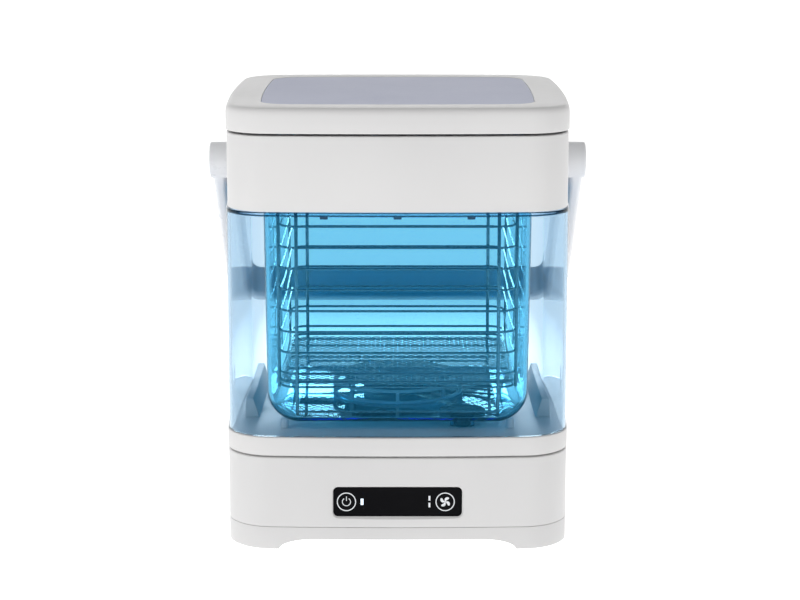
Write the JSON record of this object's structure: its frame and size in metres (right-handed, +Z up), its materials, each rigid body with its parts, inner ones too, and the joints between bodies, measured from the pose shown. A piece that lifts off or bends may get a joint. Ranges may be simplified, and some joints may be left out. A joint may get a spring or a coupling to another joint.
{
  "type": "resin wash station",
  "caption": "Square white resin wash station: drive base with touch panel, lift-off clear blue tank with bail handle, wire basket, magnet-driven impeller and lid.",
  "frame": {"origin": "on the surface that the feet stand on, under the centre of the bounding box, which the handle behind the body reaches into", "axes": "+Z up, -Y towards the front with the touch panel, +X to the viewer's right when facing the front"},
  "size_m": [0.3272, 0.3196, 0.371],
  "materials": {
    "white_plastic": "fine satin",
    "black_rubber": "matte",
    "steel": "satin",
    "magnet": "plated",
    "black_glass": "gloss",
    "circuit_board": "matte",
    "black_plastic": "matte",
    "clear_blue_plastic": "clear gloss",
    "pale_plastic": "satin",
    "impeller_plastic": "satin",
    "stainless_wire": "polished wire",
    "frosted_window": "frosted",
    "silicone": "matte"
  },
  "bodies": {
    "base": {"bottom_chassis": "white_plastic", "base_housing": "white_plastic", "rubber_foot_1": "black_rubber", "rubber_foot_2": "black_rubber", "rubber_foot_3": "black_rubber", "rubber_foot_4": "black_rubber", "case_screw_1": "steel", "case_screw_2": "steel", "case_screw_3": "steel", "case_screw_4": "steel", "panel_glass": "black_glass", "panel_board": "circuit_board", "control_board": "circuit_board", "power_inlet": "black_plastic", "motor": "steel", "motor_bracket": "steel", "bracket_screw_1": "steel", "bracket_screw_2": "steel", "bracket_screw_3": "steel", "bracket_screw_4": "steel", "motor_lead": "black_plastic", "panel_lead": "black_plastic"},
    "drive_rotor": {"motor_shaft": "steel", "magnet_rotor": "black_plastic", "drive_magnet_1": "magnet", "drive_magnet_2": "magnet", "drive_magnet_3": "magnet", "drive_magnet_4": "magnet"},
    "tank": {"tank_deck": "white_plastic", "tank_shell": "clear_blue_plastic", "upper_frame": "white_plastic", "bucket": "clear_blue_plastic", "bucket_foot_1": "pale_plastic", "bucket_foot_2": "pale_plastic", "bucket_foot_3": "pale_plastic", "bucket_foot_4": "pale_plastic", "impeller_cage": "pale_plastic", "impeller_spindle": "steel", "pivot_pin_left": "steel", "pivot_pin_right": "steel", "pivot_bushing_left": "pale_plastic", "pivot_bushing_right": "pale_plastic"},
    "impeller": {"impeller": "impeller_plastic", "impeller_magnet_1": "magnet", "impeller_magnet_2": "magnet", "impeller_magnet_3": "magnet", "impeller_magnet_4": "magnet"},
    "drain_plug": {"drain_plug": "black_rubber"},
    "basket": {"basket_front": "stainless_wire", "basket_back": "stainless_wire", "basket_left": "stainless_wire", "basket_right": "stainless_wire", "basket_floor": "stainless_wire", "basket_mesh": "stainless_wire"},
    "basket_bail": {"basket_bail": "stainless_wire"},
    "lid": {"lid_frame": "white_plastic", "lid_window": "frosted_window", "lid_gasket": "silicone"},
    "handle": {"handle_bail": "white_plastic"}
  },
  "joints": [
    {"name": "rotor_spin", "type": "hinge", "parent": "base", "child": "drive_rotor", "pos_m": [0, -0.01314, 0.095], "axis": [0, 0, 1], "continuous": true},
    {"name": "tank_lift", "type": "slide", "parent": "base", "child": "tank", "axis": [0, 0, 1], "range_m": [0, 0.15]},
    {"name": "impeller_spin", "type": "hinge", "parent": "tank", "child": "impeller", "pos_m": [0, -0.01314, 0.12], "axis": [0, 0, 1], "continuous": true},
    {"name": "plug_pull", "type": "slide", "parent": "tank", "child": "drain_plug", "axis": [0, 0, 1], "range_m": [0, 0.018]},
    {"name": "basket_lift", "type": "slide", "parent": "tank", "child": "basket", "axis": [0, 0, 1], "range_m": [0, 0.022]},
    {"name": "bail_fold", "type": "hinge", "parent": "basket", "child": "basket_bail", "pos_m": [0, -0.01314, 0.3081], "axis": [-1, 0, 0], "range_deg": [0, 180]},
    {"name": "lid_lift", "type": "slide", "parent": "tank", "child": "lid", "axis": [0, 0, 1], "range_m": [0, 0.15]},
    {"name": "handle_swing", "type": "hinge", "parent": "tank", "child": "handle", "pos_m": [0, -0.01314, 0.31], "axis": [1, 0, 0], "range_deg": [0, 260]}
  ],
  "couplings": [
    {"joint": "impeller_spin", "follows": "rotor_spin", "ratio": 1}
  ]
}
